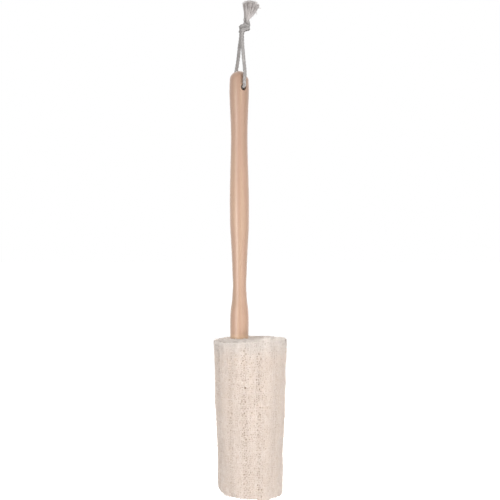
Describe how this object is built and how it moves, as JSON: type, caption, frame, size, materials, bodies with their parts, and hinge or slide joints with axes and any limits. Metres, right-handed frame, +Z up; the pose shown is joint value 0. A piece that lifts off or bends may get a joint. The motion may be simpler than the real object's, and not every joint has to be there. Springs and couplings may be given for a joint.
{
  "type": "loofah back scrubber",
  "caption": "Long turned wooden stick with a cut length of loofah on its lower end and a knotted cord loop through a hole near the top, for washing the back.",
  "frame": {"origin": "the point where a hook carries the cord: between its two strands, just under the knot", "axes": "+Z up along the stick, +X to the right and -Y towards the front, the side on which the right-hand strand goes into the hole"},
  "size_m": [0.0698, 0.0682, 0.4663],
  "materials": {
    "beech_wood": "satin",
    "loofah_fibre": "matte",
    "cotton_cord": "matte",
    "clear_glue": "satin"
  },
  "bodies": {
    "hanging_cord": {"cord_loop": "cotton_cord", "cord_knot": "cotton_cord", "cord_tail_left": "cotton_cord", "cord_tail_right": "cotton_cord", "frayed_end_left": "cotton_cord", "frayed_end_right": "cotton_cord"},
    "scrubber": {"wooden_handle": "beech_wood", "glue_bead_upper": "clear_glue", "glue_bead_lower": "clear_glue", "loofah_outer_mat": "loofah_fibre", "loofah_core": "loofah_fibre"}
  },
  "joints": [
    {"name": "scrubber_swing", "type": "hinge", "parent": "hanging_cord", "child": "scrubber", "pos_m": [-0.0025, 0, -0.0523], "axis": [0.5, -0.866, 0], "range_deg": [-120, 120]}
  ]
}
